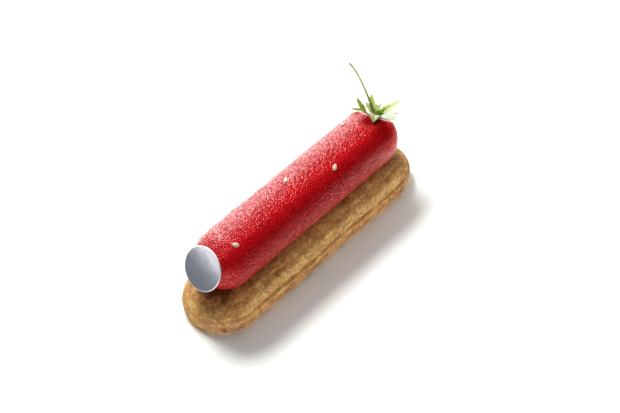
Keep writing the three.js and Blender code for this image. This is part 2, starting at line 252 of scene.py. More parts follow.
def choux_levels():
    """Half-width and height of the choux's section from the foot's middle to the ridge."""
    foot = CHOUX_HALF_WIDTH - CHOUX_TUCK
    levels = [(foot * i / FOOT_ROWS, 0.0) for i in range(FOOT_ROWS)]
    for i in range(SIDE_ROWS + 1):
        angle = math.pi / 2 * (i / SIDE_ROWS - 1)
        width = CHOUX_HALF_WIDTH - CHOUX_TUCK * (1 - math.cos(angle))
        levels.append((width, CHOUX_WAIST * (1 + math.sin(angle))))
    rise = CHOUX_HEIGHT - CHOUX_WAIST
    for i in range(1, DOME_ROWS):
        angle = math.pi / 2 * i / DOME_ROWS
        width = CHOUX_HALF_WIDTH * math.cos(angle) ** (2 / DOME_POWER)
        levels.append((width, CHOUX_WAIST + rise * math.sin(angle) ** (2 / DOME_POWER)))
    return np.array(levels + [(0.0, CHOUX_HEIGHT)])


def choux_plan():
    """Middle, onward and aside shares of the plan outline, anticlockwise from the far end's right."""
    far = CHOUX_LENGTH / 2 - FAR_END_LENGTH
    near = NEAR_END_LENGTH - CHOUX_LENGTH / 2
    end_steps = int(math.pi * CHOUX_HALF_WIDTH / CRUST_STEP)
    side_steps = int((far - near) / CRUST_STEP)
    turn = np.radians(np.arange(end_steps) * 180 / end_steps)
    onward, aside = (np.sign(v) * np.abs(v) ** (2 / END_POWER) for v in (np.sin(turn), -np.cos(turn)))
    back = np.linspace(far, near, side_steps, endpoint=False)
    forth = np.linspace(near, far, side_steps, endpoint=False)
    still, ones = np.zeros(side_steps), np.ones(side_steps)
    middle = np.concatenate([np.full(end_steps, far), back, np.full(end_steps, near), forth])
    onward = np.concatenate([onward, still, -onward, still])
    return middle, onward, np.concatenate([aside, ones, -aside, -ones])


def past_run(x):
    """How far a place along the bar lies beyond its straight run."""
    return np.maximum(0, np.abs(x - BAR_SHIFT) - BAR_RUN)


def bar_underside(x, y):
    """Height of the bar's underside over a place, without limit where the bar doesn't reach."""
    away = np.hypot(past_run(x), y)
    inside = np.sqrt(np.maximum(0, BAR_RADIUS**2 - away**2))
    return np.where(away < BAR_RADIUS, BAR_HEIGHT - inside, np.inf)


def crust_relief(smooth, bed):
    """How far the lumps, wrinkles and crumbs stand out, none at the foot and in the bar's bed."""
    drawn_out = smooth / (ALONG_STRETCH, 1, 1)
    relief = LUMP_RISE * noise_at(drawn_out, LUMP_SIZE)
    relief += WRINKLE_RISE * noise_at(drawn_out + WRINKLE_SHIFT, WRINKLE_SIZE)
    relief += CRUMB_RISE * noise_at(smooth + CRUMB_SHIFT, CRUMB_SIZE)
    off_bar = np.clip((bed - smooth[:, 2] - BED_CLEAR) / BED_SOFTNESS, 0, 1)
    return relief * (off_bar * np.clip(smooth[:, 2] / FOOT_SOFTNESS, 0, 1))


def crust_bake_and_shade(height, onward, aside, from_bar):
    """How pale each point is, from its baked bands, darker high on the far end, painted shade in the
    grooves, at the foot, under the bar and on the near end's right, and painted light on the near end's
    left; and how warm its hue is, from cool 0 to warm 1, as painted light warms it and painted shade cools
    it.
    """
    near, far = np.maximum(0, -onward), np.maximum(0, onward)
    banded = read_off(height, BAKE_AND_SHADE_TONES)
    baked_and_painted_tone = BAKE_AT_ENDS + (banded - BAKE_AT_ENDS) * (1 - BAKE_BLEND * np.abs(onward))
    left = read_off(aside, PAINTED_LIGHT_ASIDE) * read_off(height, PAINTED_LIGHT_HEIGHTS)
    right = read_off(aside, PAINTED_SHADE_ASIDE) * read_off(height, PAINTED_SHADE_HEIGHTS)
    baked_and_painted_tone = baked_and_painted_tone + (LEFT_PAINTED_LIGHT * left - RIGHT_PAINTED_SHADE * right) * near - far * read_off(height, FAR_DARKER)
    # Painted shade where the bar hangs close over the crust.
    shaded = np.exp(-np.maximum(0, from_bar) / SHADE_UNDER_REACH) * np.maximum(SHADE_UNDER_ALONG, -onward)
    painted_light_warmth = 0.5 + 0.5 * (left - right) * near
    return baked_and_painted_tone - PAINTED_SHADE_UNDER_BAR * shaded, painted_light_warmth


def choux_mesh():
    """Points and quads of the crust, how pale each point is baked and painted with light and shade, and how
    warm the painted light makes its hue.
    """
    levels = choux_levels()
    middle, onward, aside = choux_plan()
    width, height = levels[:, :1], levels[:, 1:]
    share = width / CHOUX_HALF_WIDTH
    dents = sum(depth * np.exp(-(((height - at) / reach) ** 2)) for at, depth, reach in GROOVES)
    groove = share * dents * (1 - (1 - GROOVE_AT_ENDS) * np.abs(onward))
    wander = np.sin(middle / UNEVEN_RUN + UNEVEN_LAG * aside) * (1 - np.abs(onward))
    end_length = np.where(onward > 0, FAR_END_LENGTH, NEAR_END_LENGTH)
    fullness = np.where(onward > 0, FAR_FULLNESS, NEAR_FULLNESS)
    x = middle + (end_length - groove) * share**fullness * onward
    y = np.maximum(0, width + UNEVEN * share * wander - groove) * aside
    z = height + 0 * x
    smooth = np.stack([x, y, z], -1).reshape(-1, 3)
    quads = ring_faces(*x.shape)
    bed = bar_underside(smooth[:, 0], smooth[:, 1])
    relief = crust_relief(smooth, bed)
    points = smooth + surface_normals(smooth, quads) * relief[:, None]
    points[:, 2] = np.minimum(points[:, 2], bed - BED_GAP)
    from_bar = np.hypot(past_run(x), np.hypot(y, z - BAR_HEIGHT)) - BAR_RADIUS
    baked_and_painted_tone, painted_light_warmth = crust_bake_and_shade(height, onward, aside, from_bar)
    return points, quads, {"baked_and_painted_tone": baked_and_painted_tone.ravel() + RELIEF_PAINTED_SHADING * relief, "painted_light_warmth": painted_light_warmth.ravel()}


def crust_material():
    """Golden-brown baked crust with a dry skin and brown freckles: pale ridges and darker grooves, partly
    baked and partly painted shade, and painted light and shade on the near end.
    """
    material, tree, surface, place = shader("baked_choux")
    along = stretched(tree, place, PATCH_STRETCH)
    patches = blotches(tree, along, PATCH_SIZE, PATCH_STRENGTH, detail=4, roughness=0.62)
    crust = ramp(tree, calculated(tree, "ADD", attribute(tree, "baked_and_painted_tone"), patches), BAKED_COLOURS)
    freckles = ramp(tree, noise_field(tree, along, FRECKLE_SIZE, detail=4, roughness=0.75), FRECKLE_TINTS)
    crust = mixed(tree, FRECKLE_SHARE, crust, freckles, "MULTIPLY")
    crust = tinted(tree, crust, ramp(tree, noise_field(tree, place, HUE_SIZE, detail=3), HUE_TINTS))
    # Hue warmed by painted light and cooled by painted shade.
    crust = tinted(tree, crust, mixed(tree, attribute(tree, "painted_light_warmth"), PAINTED_SHADE_TINT, PAINTED_LIGHT_TINT))
    tree.links.new(crust, surface.inputs["Base Color"])
    surface.inputs["Roughness"].default_value = CRUST_ROUGHNESS
    surface.inputs["Specular IOR Level"].default_value = CRUST_SHINE
    bumped(tree, surface, noise_field(tree, place, GRAIN_SIZE, detail=4, roughness=0.6), GRAIN_DEPTH)
    return material


choux_points, choux_quads, choux_values = choux_mesh()
choux_crust = piece("choux_crust", choux_points, choux_quads, crust_material(), "choux",
                    choux_values)

# The mousse bar: strawberry mousse set in a round-ended mould, coated with a glossy red glaze that
# dries to a fine pebbled skin. Its far end is dished for the calyx and its near end pressed flat.
DISH_RADIUS, DISH_DEPTH = 8.5, 0.5
DISH_LIFT, DISH_TURN = 50.0, 14.0
RIM_SOFTNESS = 0.9
NOTCH_LIFT, NOTCH_TURN, NOTCH_DEPTH, NOTCH_REACH = 76.0, -120.0, 1.3, 3.1  # below the front leaf
PRESS = 0.5
DISC_LIFT, DISC_TURN = 23.4, 3.7
LEAST_FACING = 0.5  # cosine from an end's axis, past which its flat or dish no longer reaches
BAR_SIDES, BAR_CAP_ROWS, BAR_RUN_ROWS = 240, 58, 270
PEBBLE_SPACING = 0.84
PEBBLE_RISE, PEBBLE_DEPTH = 0.02, 0.43  # in the mesh, and in the finer bump of the material
PEBBLE_PACKING, PEBBLE_SCATTER = 0.87, 0.2  # area and stray of a pebble, by the spacing
PEBBLE_SIZES, PEBBLE_SEED = (0.55, 1.0), 5
PEBBLE_FOOT = 0.63  # reach of a pebble, as a share of the spacing
PEBBLE_UNEVEN = 0.8
DOME_LEAST, DOME_MORE = 0.4, 1.2  # the pebbles' heights run from the first to the sum
STAND_LEAST, STAND_MORE = 0.3, 0.7  # height left where the skin isn't pebbled, and what pebbling adds
GOLDEN_ANGLE = math.pi * (3 - math.sqrt(5))
CALYX_SHADOW_LIFT, CALYX_SHADOW_TURN, CALYX_SHADOW_REACH = 57.0, -85.0, 6.2  # painted shadow of the calyx on the glaze beside it, where the pebbles don't show
PEBBLED_ALONG = ((46, 1), (56, 0))  # place along the bar, share of the pebbles that show
PEBBLED_ROUND = (  # degrees round the bar from +Y over the top, share of the pebbles that show
    (60, 1), (78, 0.84), (105, 0.84), (112, 1.2), (118, 1.1), (128, 0.53), (138, 0.15), (148, 0.53),
    (156, 0.87), (170, 1),
)
CROWN_ALONG = ((-56, 0.5), (-46, 0))  # more of them on the crown at the near end
CROWN_ROUND = ((-60, 0), (-20, 1), (116, 1), (130, 0))
PAINTED_LIGHT_ROUND = (  # degrees round the bar, brightness of the red: painted light and shade
    (0, 1.0), (40, 0.82), (68, 0.84), (90, 0.92), (105, 1.06), (116, 1.33), (128, 1.06), (142, 0.92),
    (158, 1.0),
)
NEAR_PAINTED_LIGHT = ((-58, 0.25), (-48, 0))  # place along the bar, and the painted light added at its near end
NEAR_ROUND = ((-60, 0), (-20, 1), (165, 1), (180, 0))
FAR_PAINTED_LIGHT = ((40, 0), (52, 0.45))  # and the painted light added at its far end
FAR_ROUND = ((118, 0), (132, 1), (170, 1), (200, 0))
GLAZE_REDS = (  # distance from a pebble's middle, colour: deeper red towards a pebble's foot, partly deeper glaze and partly painted shade between the pebbles
    (0.1, (0.575, 0.006, 0.010)), (0.4, (0.51, 0.004, 0.007)), (0.7, (0.385, 0.002, 0.004)),
)
PEBBLE_TINTS = ((0.0, (0.74, 0.74, 0.74)), (1.0, (1.22, 1.22, 1.22)))
# How dark the painted shadow of the calyx makes the red.
CALYX_SHADOW_TINT = (0.36, 0.36, 0.36)
PEBBLE_GLINTS = ((0.2, (0.15, 0.15, 0.15)), (0.85, (1.0, 1.0, 1.0)))  # some pebbles shine, some hardly
GLAZE_ROUGHNESS, GLAZE_IOR = 0.25, 1.15
GLINT_ROUGHNESS, GLINT_IOR = 0.23, 1.46


def facing(sign, lift, turn):
    """Unit vector along X by sign, raised by lift and turned towards +Y by turn."""
    lift, turn = math.radians(lift), math.radians(turn)
    level = math.cos(lift)
    return np.array([sign * level * math.cos(turn), level * math.sin(turn), math.sin(lift)])


DISH_AXIS = facing(1, DISH_LIFT, DISH_TURN)
DISC_AXIS = facing(-1, DISC_LIFT, DISC_TURN)
NEAR_CENTRE = np.array([BAR_SHIFT - BAR_RUN, 0, BAR_HEIGHT])
FAR_CENTRE = np.array([BAR_SHIFT + BAR_RUN, 0, BAR_HEIGHT])
NOTCH_PLACE = FAR_CENTRE + facing(1, NOTCH_LIFT, NOTCH_TURN) * BAR_RADIUS
# Middle of the calyx's painted shadow.
CALYX_SHADOW_PLACE = FAR_CENTRE + facing(1, CALYX_SHADOW_LIFT, CALYX_SHADOW_TURN) * BAR_RADIUS
DISH_RIM = math.sqrt(BAR_RADIUS**2 - DISH_RADIUS**2)  # distance of the dish's rim from the end's centre


def spot(points, place, reach):
    """Share of a soft round spot: 1 at its place, fading out beyond its reach."""
    return np.exp(-((np.linalg.norm(points - place, axis=-1) / reach) ** 2))


def near_reach(direction):
    """Distance of the near end's skin from its centre: round, with the disc's flat taken off."""
    cos = np.maximum(direction @ DISC_AXIS, LEAST_FACING)
    return np.minimum(BAR_RADIUS, (BAR_RADIUS - PRESS) / cos)


def run_reach(direction, centre):
    """Distance of the skin from the bar's axis: round, with the notch below the front leaf taken off."""
    return BAR_RADIUS - NOTCH_DEPTH * spot(centre + direction * BAR_RADIUS, NOTCH_PLACE, NOTCH_REACH)


def far_reach(direction):
    """Distance of the far end's skin from its centre: the run's skin with the calyx's dish taken off."""
    skin = run_reach(direction, FAR_CENTRE)
    cos = np.clip(direction @ DISH_AXIS, LEAST_FACING, 1)
    from_axis = DISH_RIM * np.sqrt(1 - cos**2) / cos / DISH_RADIUS
    floor = (DISH_RIM - DISH_DEPTH * np.maximum(0, 1 - from_axis**2)) / cos
    blend = np.maximum(RIM_SOFTNESS - np.abs(skin - floor), 0) / RIM_SOFTNESS
    return np.minimum(skin, floor) - blend**2 * RIM_SOFTNESS / 4


def pebble_heights(points):
    """Height from 0 to 1 of small rounded bumps packed side by side over the bar, from its plain form's
    points. Equal steps along the bar cover equal areas, so a spiral of golden turns spreads them evenly."""
    random = np.random.default_rng(PEBBLE_SEED)
    count = int(2 * math.pi * BAR_RADIUS * BAR_LENGTH / (PEBBLE_PACKING * PEBBLE_SPACING**2))
    stray = PEBBLE_SCATTER * PEBBLE_SPACING
    order = np.arange(count) + 0.5
    along = BAR_LENGTH * (order / count - 0.5)
    along += random.normal(0, stray, count) * (np.abs(along) < BAR_RUN)
    past = np.maximum(0, np.abs(along) - BAR_RUN)
    radius = np.sqrt(np.maximum(0, BAR_RADIUS**2 - past**2))
    turn = order * GOLDEN_ANGLE + random.normal(0, stray, count) / np.maximum(radius, 1)
    centres = np.stack([BAR_SHIFT + along, radius * np.cos(turn), BAR_HEIGHT + radius * np.sin(turn)], 1)
    tree = KDTree(count)
    for index, centre in enumerate(centres):
        tree.insert(centre, index)
    tree.balance()
    size = random.uniform(*PEBBLE_SIZES, count)
    heights = np.empty(len(points))
    for index, point in enumerate(points):
        (_, own, first), (_, _, second) = tree.find_n(point, 2)
        heights[index] = size[own] * (1 - (2 * first / (first + second)) ** 2)
    return heights


def glaze_values(skin, degrees):
    """How far each point of the skin lies in the calyx's painted shadow, how pebbled it is, and how bright
    the red is painted: painted light just right of the crown and at both ends, and painted shade elsewhere
    round the top, most on the crown's left."""
    x = skin[:, 0]
    # Painted shadow of the calyx beside it, and of the front leaf in the notch below it; the pebbles don't
    # show there.
    painted_calyx_shadow = np.maximum(spot(skin, CALYX_SHADOW_PLACE, CALYX_SHADOW_REACH), spot(skin, NOTCH_PLACE, NOTCH_REACH))
    pebbled = read_off(x, PEBBLED_ALONG) * (1 - painted_calyx_shadow) * read_off(degrees, PEBBLED_ROUND)
    pebbled = pebbled * (1 + read_off(degrees, CROWN_ROUND) * read_off(x, CROWN_ALONG))
    ends = read_off(x, NEAR_PAINTED_LIGHT) * read_off(degrees, NEAR_ROUND)
    ends = ends + read_off(x, FAR_PAINTED_LIGHT) * read_off(degrees, FAR_ROUND)
    return {"painted_calyx_shadow": painted_calyx_shadow, "pebbled": pebbled, "shade": read_off(degrees, PAINTED_LIGHT_ROUND) * (1 + ends)}


def bar_mesh():
    """Points and quads of the bar's skin, the state of its glaze, and the places along and around the
    skin, in millimetres, on which the material lays out its pebbles."""
    turn = np.linspace(-math.pi / 2, 3 * math.pi / 2, BAR_SIDES, endpoint=False)
    tilts = np.linspace(-math.pi / 2, 0, BAR_CAP_ROWS, endpoint=False)
    shift = np.concatenate([np.zeros(BAR_CAP_ROWS), np.linspace(0, 2 * BAR_RUN, BAR_RUN_ROWS),
                            np.full(BAR_CAP_ROWS, 2 * BAR_RUN)])[:, None]
    tilt = np.concatenate([tilts, np.zeros(BAR_RUN_ROWS), -tilts[::-1]])[:, None]
    level = np.cos(tilt)
    direction = np.stack([np.sin(tilt) + 0 * turn, level * np.cos(turn), level * np.sin(turn)], -1)
    centre = NEAR_CENTRE + shift[..., None] * np.array([1.0, 0, 0])
    reach = run_reach(direction, centre)
    reach[:BAR_CAP_ROWS] = near_reach(direction[:BAR_CAP_ROWS])
    reach[-BAR_CAP_ROWS:] = far_reach(direction[-BAR_CAP_ROWS:])
    skin = (centre + direction * reach[..., None]).reshape(-1, 3)
    height = pebble_heights((centre + direction * BAR_RADIUS).reshape(-1, 3))
    points = skin + direction.reshape(-1, 3) * (PEBBLE_RISE * (height - 1))[:, None]
    values = glaze_values(skin, (np.degrees(turn) + 0 * tilt).ravel())
    values["along"] = (shift + BAR_RADIUS * tilt + 0 * turn).ravel()
    values["around"] = (BAR_RADIUS * turn + 0 * tilt).ravel()
    return points, ring_faces(len(tilt), BAR_SIDES), values


def pebble_cells(tree):
    """Pebbles laid out on the skin: distance from a pebble's middle, and two lots drawn for each."""
    skin = tree.nodes.new("ShaderNodeCombineXYZ")
    tree.links.new(attribute(tree, "along"), skin.inputs["X"])
    tree.links.new(attribute(tree, "around"), skin.inputs["Y"])
    cells = tree.nodes.new("ShaderNodeTexVoronoi")
    cells.voronoi_dimensions = "2D"
    cells.inputs["Scale"].default_value = 1 / PEBBLE_SPACING
    cells.inputs["Randomness"].default_value = PEBBLE_UNEVEN
    tree.links.new(skin.outputs["Vector"], cells.inputs["Vector"])
    lots = tree.nodes.new("ShaderNodeSeparateColor")
    tree.links.new(cells.outputs["Color"], lots.inputs["Color"])
    return cells.outputs["Distance"], lots.outputs["Red"], lots.outputs["Blue"]


def pebble_domes(tree, away, lot, pebbled):
    """Height of the rounded pebbles, each with its own size, lower where the skin is smooth."""
    domes = calculated(tree, "SUBTRACT", PEBBLE_FOOT**2, calculated(tree, "MULTIPLY", away, away))
    domes = calculated(tree, "MAXIMUM", domes, 0.0)
    size = calculated(tree, "ADD", calculated(tree, "MULTIPLY", lot, DOME_MORE), DOME_LEAST)
    standing = calculated(tree, "ADD", calculated(tree, "MULTIPLY", pebbled, STAND_MORE), STAND_LEAST)
    return calculated(tree, "MULTIPLY", domes, size, standing)


def glaze_material():
    """Glossy red glaze with a pebbled skin, on which single pebbles catch the light."""
    material, tree, surface, _ = shader("red_glaze")
    away, lot, size_lot = pebble_cells(tree)
    pebbled = attribute(tree, "pebbled")
    red = tinted(tree, ramp(tree, away, GLAZE_REDS), ramp(tree, lot, PEBBLE_TINTS))
    # Painted light and shade round the bar and at its ends.
    red = tinted(tree, red, attribute(tree, "shade"))
    # Painted shadow of the calyx and of the front leaf.
    red = tinted(tree, red, mixed(tree, attribute(tree, "painted_calyx_shadow"), (1.0, 1.0, 1.0), CALYX_SHADOW_TINT))
    tree.links.new(red, surface.inputs["Base Color"])
    surface.inputs["Roughness"].default_value = GLAZE_ROUGHNESS
    surface.inputs["IOR"].default_value = GLAZE_IOR
    glints = calculated(tree, "MULTIPLY", ramp(tree, lot, PEBBLE_GLINTS), pebbled)
    tree.links.new(glints, surface.inputs["Coat Weight"])
    surface.inputs["Coat Roughness"].default_value = GLINT_ROUGHNESS
    surface.inputs["Coat IOR"].default_value = GLINT_IOR
    pebbles = bumped(tree, surface, pebble_domes(tree, away, size_lot, pebbled), PEBBLE_DEPTH)
    tree.links.new(pebbles, surface.inputs["Coat Normal"])
    return material


bar_points, bar_quads, bar_values = bar_mesh()
piece("mousse_bar_skin", bar_points, bar_quads, glaze_material(), "mousse_bar", bar_values)

# The seeds: pale sesame seeds, dropped on the glaze before it set. Each is a flat drop, pointed at
# one end, sunk a little into the red skin.
SEED_LENGTH, SEED_WIDTH, SEED_HEIGHT, SEED_SUNK = 3.5, 1.95, 1.2, 0.2
SEED_TAPER = 0.32
SEEDS = (  # place along the bar, angle round it from +Y, turn on the skin, share of glaze over it
    (-50.7, 118, 131, 0), (-7.6, 83, 40, 0), (14.5, 125, 26, 0), (37.9, 63, 8, 0.75),
    (-33, 42, 30, 0), (16, 22, -35, 0.3), (-10, 352, 70, 0),
)
SEED_ROWS, SEED_SIDES = 16, 24
SEED_COATS = ((0.3, (0.66, 0.39, 0.26)), (0.6, (0.90, 0.66, 0.49)))
SEED_MOTTLE = 0.9
SEED_GLAZED = (0.70, 0.27, 0.22)
SEED_ROUGHNESS = 0.5


def full_turn(sides):
    """Angles of a number of sides, evenly round a full turn."""
    return 2 * math.pi * np.arange(sides) / sides


def seed_points(along, angle, turn):
    """Skin of one seed: a ball squeezed flat, with one end drawn to a point."""
    latitude = np.linspace(0, math.pi, SEED_ROWS)[:, None]
    longitude = full_turn(SEED_SIDES)
    x = np.cos(latitude) + 0 * longitude
    taper = np.sin(latitude) * (1 - SEED_TAPER * np.cos(latitude))
    y, z = taper * np.cos(longitude), taper * np.sin(longitude)
    ball = np.stack([x * SEED_LENGTH, y * SEED_WIDTH, z * SEED_HEIGHT], -1).reshape(-1, 3) / 2
    lie = Matrix.Rotation(math.radians(turn), 3, "Z")
    stand = Matrix.Rotation(math.radians(angle - 90), 3, "X")
    lift = BAR_RADIUS + SEED_HEIGHT / 4 - SEED_SUNK
    placed = ball @ np.array(lie).T + (0, 0, lift)
    return placed @ np.array(stand).T + (along, 0, BAR_HEIGHT)


def seeds_mesh():
    """Points and quads of all the seeds, and how far the glaze covers each."""
    points = np.concatenate([seed_points(*place) for *place, glazed in SEEDS])
    size = SEED_ROWS * SEED_SIDES
    one_seed = ring_faces(SEED_ROWS, SEED_SIDES)
    quads = np.concatenate([one_seed + i * size for i in range(len(SEEDS))])
    return points, quads, {"glazed": np.repeat([glazed for *place, glazed in SEEDS], size)}


def seed_material():
    """Cream seed coat with tan mottling, red where the glaze covers it."""
    material, tree, surface, place = shader("sesame")
    coat = ramp(tree, noise_field(tree, place, SEED_MOTTLE, detail=3), SEED_COATS)
    coat = mixed(tree, attribute(tree, "glazed"), coat, SEED_GLAZED)
    tree.links.new(coat, surface.inputs["Base Color"])
    surface.inputs["Roughness"].default_value = SEED_ROUGHNESS
    return material


seeds_points, seeds_quads, seeds_values = seeds_mesh()
sesame_seeds = piece("sesame_seeds", seeds_points, seeds_quads, seed_material(), "mousse_bar",
                     seeds_values)
sesame_seeds.visible_glossy = False  # the smooth side of the glaze would mirror them as streaks

# The disc: a thin round of white chocolate dusted with silver lustre on both faces. It is pressed onto
# the bar's near end, leaning back, and its front edge stays white.
DISC_RADIUS, DISC_THICKNESS, DISC_EDGE = 10.05, 1.1, 0.2
DISC_DROP, DISC_ASIDE = 2.3, 0.3
DISC_GAP = 0.05
DISC_SIDES, DISC_EDGE_ROWS = 128, 9
FACE_RINGS = (0.98, 0.955, 0.9, 0.8, 0.65, 0.5, 0.35, 0.2, 0.08, 0)  # shares of the flat's radius
BACK_RINGS = (0, 0.5)
DUST_RADIUS = 9.75  # the lustre stops short of the white edge
PAINTED_REFLECTION_DOWN, PAINTED_REFLECTION_ASIDE = -0.6, 0.18  # how the painted reflection runs over the face, by its radius
DUST_COLOURS = (  # painted reflection, colour of the silver dust
    (0.15, (0.165, 0.175, 0.22)), (0.45, (0.225, 0.235, 0.285)), (0.72, (0.41, 0.415, 0.48)),
    (0.95, (0.86, 0.85, 0.93)),
)
DUST_CLOUD, DUST_UNEVEN = 4.0, 0.3
DUST_METAL, DUST_ROUGHNESS = 0.4, 0.38
DUST_GRAIN, DUST_DEPTH = 0.5, 0.01
CHOCOLATE_WHITE = (0.88, 0.88, 0.86)


def disc_mesh():
    """Rings of the disc from the middle of its back to the middle of its face, where it is dusted and how
    bright its painted reflection is."""
    inner, half = DISC_RADIUS - DISC_EDGE, DISC_THICKNESS / 2
    rings = [(inner * k, 0) for k in BACK_RINGS]
    for angle in np.linspace(-math.pi / 2, math.pi / 2, DISC_EDGE_ROWS):
        rings.append((inner + DISC_EDGE * math.cos(angle), half + half * math.sin(angle)))
    rings += [(inner * k, DISC_THICKNESS) for k in FACE_RINGS]
    turn = full_turn(DISC_SIDES)
    radius, height = np.array(rings).T[:, :, None]
    flat = np.stack([radius * np.cos(turn), radius * np.sin(turn), height + 0 * turn], -1).reshape(-1, 3)
    dusted = [float(h < half or r < DUST_RADIUS) for r, h in rings]
    # Painted reflection: lighter towards the top of the face.
    painted_reflection = 0.5 + (PAINTED_REFLECTION_ASIDE * flat[:, 1] + PAINTED_REFLECTION_DOWN * flat[:, 0]) / DISC_RADIUS
    down = np.array([0, 0, -1]) + DISC_AXIS * DISC_AXIS[2]
    down /= np.linalg.norm(down)
    aside = np.cross(DISC_AXIS, down)
    seat = NEAR_CENTRE + DISC_AXIS * (BAR_RADIUS - PRESS + DISC_GAP) + down * DISC_DROP + aside * DISC_ASIDE
    points = seat + flat @ np.stack([down, aside, DISC_AXIS])
    values = {"face": np.repeat(dusted, DISC_SIDES), "painted_reflection": painted_reflection}
    return points, ring_faces(len(rings), DISC_SIDES), values


def lustre_material():
    """Silver dust on white chocolate: soft metal with a painted reflection on the faces, plain white at the
    front edge.
    """
    material, tree, surface, place = shader("silver_lustre")
    face = attribute(tree, "face")
    cloud = blotches(tree, place, DUST_CLOUD, DUST_UNEVEN, detail=4, roughness=0.6)
    dust = ramp(tree, calculated(tree, "ADD", attribute(tree, "painted_reflection"), cloud), DUST_COLOURS)
    tree.links.new(mixed(tree, face, CHOCOLATE_WHITE, dust), surface.inputs["Base Color"])
    tree.links.new(calculated(tree, "MULTIPLY", face, DUST_METAL), surface.inputs["Metallic"])
    surface.inputs["Roughness"].default_value = DUST_ROUGHNESS
    bumped(tree, surface, noise_field(tree, place, DUST_GRAIN), DUST_DEPTH)
    return material


disc_points, disc_quads, disc_values = disc_mesh()
piece("silver_disc_face", disc_points, disc_quads, lustre_material(), "silver_disc",
      disc_values)

# The calyx: the green crown of a strawberry, set into the bar's dish. Narrow leaves spread and curl
# from a small hub, and the cut stalk leans to the left.
HUB_RADIUS, HUB_HEIGHT = 4.2, 1.3
HUB_ROWS, HUB_SIDES = 13, 32
HUB_COLOUR = (0.30, 0.33, 0.14)
LEAF_THICKNESS, LEAF_THINNER = 0.4, 0.5  # at the root, and the share lost towards the tip
LEAF_FOLD, LEAF_BEND = 0.28, 2.0
LEAF_WAVE, LEAF_WAVES = 0.35, 1.25  # of the edges, and how many; each leaf's start with its turn
LEAF_ROOT_WIDTH, LEAF_SPREAD = 0.39, 1.9  # share of the width at the root, and how fast it grows
LEAF_EDGE = 0.8  # how much thinner the edges are than the middle
LEAF_TWISTING = 1 / 3  # share of the length over which a leaf takes up its twist
LEAVES = (  # turn, start, lift, lift at the tip, length, width, twist, colour
    (128, 2.0, 6, -14, 10.0, 3.0, 20, (0.38, 0.43, 0.24)),
    (125, 3.6, 35, 56, 8.8, 2.3, 70, (0.10, 0.15, 0.03)),
    (94, 1.5, 40, 60, 6.8, 4.2, 0, (0.36, 0.46, 0.13)),
    (78, 0.8, 58, 70, 10.0, 3.2, -30, (0.24, 0.31, 0.09)),
    (32, 1.0, 36, 56, 7.2, 4.6, 0, (0.26, 0.23, 0.08)),
    (-8, 1.0, 86, 25, 10.4, 0.8, 0, (0.40, 0.42, 0.32)),
    (-26, 0.8, 40, 48, 13.9, 4.3, 22, (0.26, 0.32, 0.11)),
    (-56, 1.5, 27, 21, 10.0, 2.6, 20, (0.33, 0.27, 0.20)),
    (-80, 2.0, 15, -2, 8.8, 4.6, 45, (0.36, 0.43, 0.31)),
    # This leaf rises at the front with its face turned from the light; its very dark green is painted
    # shade.
    (-125, 3.0, 40, 56, 6.2, 3.4, 0, (0.03, 0.062, 0.012)),
    (-148, 1.5, 14, -72, 11.0, 4.4, 0, (0.29, 0.33, 0.13)),
)
LEAF_ROWS, LEAF_HALF_COLUMNS = 28, 6
ROOT_BRIGHTER, TIP_DARKER = 1.12, 0.34
MIDRIB_DARKER, EDGE_PALER = 0.9, 0.22
STALK_ROUTE = ((0, 0, 0), (1, 3.2, 4.5), (1, 6.8, 12.6), (0, 10.6, 19.2), (-1.5, 14.0, 24.6))
STALK_ROOT, STALK_NECK, STALK_TIP = 0.85, 0.62, 0.45  # radii
STALK_FLARE = 1 / 3  # share of the length over which the root's flare dies away
STALK_ROWS, STALK_SIDES = 60, 16
STALK_COLOURS = (  # share of its length, colour
    (0.0, (0.20, 0.19, 0.04)), (0.2, (0.34, 0.35, 0.10)), (0.4, (0.62, 0.68, 0.36)),
    (0.8, (0.60, 0.66, 0.40)), (1.0, (0.34, 0.35, 0.22)),
)
CALYX_GAP = 0.1
CALYX_SEAT = FAR_CENTRE + DISH_AXIS * (DISH_RIM - DISH_DEPTH + CALYX_GAP + HUB_HEIGHT / 2)
CALYX_TURN = np.array(Vector((0, 0, 1)).rotation_difference(Vector(DISH_AXIS)).to_matrix())
MOTTLE_SIZE, MOTTLE_SHARE = 1.2, 0.8
MOTTLE_TINTS = ((0.3, (0.78, 0.8, 0.72)), (0.7, (1.12, 1.12, 1.12)))
LEAF_ROUGHNESS = 0.5
LEAF_GLOW, LEAF_GLOW_REACH, LEAF_GLOW_TINT = 0.6, 2.0, (1.0, 1.2, 0.5)  # light that passes through
VEIN_SIZE, VEIN_DEPTH = 0.5, 0.05


